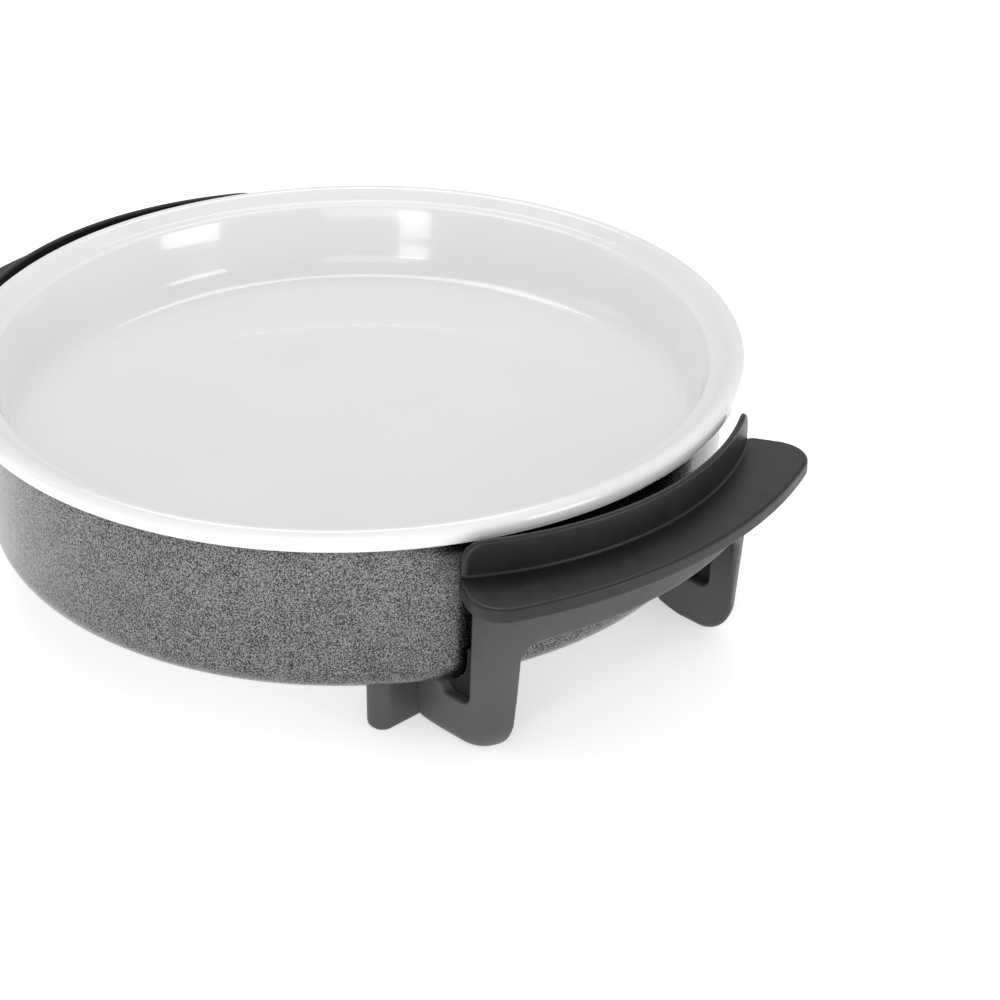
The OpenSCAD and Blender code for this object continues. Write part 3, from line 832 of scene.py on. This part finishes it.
CAD_LOOKS = {
    "base_plate": ZINC, "base_screws": SCREW, "heat_spreader": ALUMINIUM,
    "heating_element": SHEATH, "terminal_pins": NICKEL, "element_clamps": ZINC,
    "heater_screws": SCREW, "sensor_block": ALUMINIUM, "reflector": ALUMINIUM,
    "insulation_pad": WOOL, "mounting_studs": SCREW, "stud_spacers": ZINC, "stud_nuts": SCREW,
    "inlet_guard": ZINC, "inlet_screws": SCREW, "earth_contact": BRASS, "grip_screws": BLACK_SCREW,
    "handle_screws": SCREW, "handle_nuts": SCREW, "case_screws": SCREW,
    "contact_carrier": PHENOLIC, "contact_sockets": BRASS, "switch_strips": BRASS,
    "control_probe": NICKEL, "thermostat_switch": IVORY,
    "pilot_lamp": LENS, "lamp_lens": LENS, "dial_shaft": NICKEL,
}
for name, material in CAD_LOOKS.items():
    dress(NODES[name], material)


# ---------------------------------------------------------------- stage, light and camera

def make_floor():
    """White sweep that the object stands on."""
    floor = new_object("floor", [(-6000, -6000, 0), (6000, -6000, 0), (6000, 6000, 0),
                                 (-6000, 6000, 0)], [(0, 1, 2, 3)], smooth=False)
    s = Shader("pale_floor", Roughness=0.8, Specular_IOR_Level=0.1, Emission_Strength=0.5,
               Emission_Color=(1.0, 1.0, 1.0))
    s.set("Base Color", s.ramp(s.noise(3.0, 3.0), (0.3, 0.90), (0.7, 0.92)))
    dress(floor, s.material)


def area_light(name, place, target, size, power):
    """Rectangular lamp; places and sizes in metres, power in watts."""
    data = bpy.data.lights.new(name, "AREA")
    data.shape = "RECTANGLE"
    data.size, data.size_y = size
    data.energy = power
    obj = bpy.data.objects.new(name, data)
    obj.location = place
    obj.rotation_euler = (Vector(target) - Vector(place)).to_track_quat("-Z", "Y").to_euler()
    bpy.context.scene.collection.objects.link(obj)


def make_world(strength):
    """Even white surroundings."""
    world = bpy.data.worlds.new("studio")
    world.use_nodes = True
    background = world.node_tree.nodes["Background"]
    background.inputs["Color"].default_value = (1.0, 1.0, 1.0, 1.0)
    background.inputs["Strength"].default_value = strength
    bpy.context.scene.world = world


VIEW_AZIMUTH = math.radians(45.86)
VIEW_ELEVATION = math.radians(29.21)
VIEW_DISTANCE = 1.558
VIEW_LENS = 110.6
VIEW_RIGHT = 0.0754
VIEW_UP = -0.0816
VIEW_HEIGHT = 0.1256


def make_camera():
    """Camera at the end of a line from the object's middle, shifted sideways and down."""
    sa, ca = math.sin(VIEW_AZIMUTH), math.cos(VIEW_AZIMUTH)
    se, ce = math.sin(VIEW_ELEVATION), math.cos(VIEW_ELEVATION)
    forward = Vector((-sa * ce, ca * ce, -se))
    right = Vector((ca, sa, 0.0))
    up = Vector((-sa * se, ca * se, ce))
    data = bpy.data.cameras.new("camera")
    data.lens = VIEW_LENS
    data.sensor_width = 36.0
    data.clip_end = 50.0
    obj = bpy.data.objects.new("camera", data)
    obj.matrix_world = Matrix((
        (right.x, up.x, -forward.x, 0), (right.y, up.y, -forward.y, 0),
        (right.z, up.z, -forward.z, 0), (0, 0, 0, 1)))
    obj.location = (Vector((0, 0, VIEW_HEIGHT)) - forward * VIEW_DISTANCE
                    + right * VIEW_RIGHT + up * VIEW_UP)
    bpy.context.scene.collection.objects.link(obj)
    bpy.context.scene.camera = obj


make_floor()
make_world(0.70)
area_light("key", (-0.9, 0.6, 2.2), (0, 0, 0.1), (1.6, 1.0), 13)
area_light("fill", (1.6, -1.9, 1.3), (0, 0, 0.1), (1.6, 1.6), 11)
area_light("low", (1.0, -2.0, 0.35), (0.1, 0, 0.08), (0.4, 0.9), 5)
area_light("right", (2.1, 0.5, 0.5), (0.15, 0, 0.1), (0.8, 0.8), 8)
area_light("side", (-2.0, -1.6, 1.0), (0, 0, 0.08), (0.7, 1.6), 2)
make_camera()
bpy.context.scene.view_settings.view_transform = "Standard"
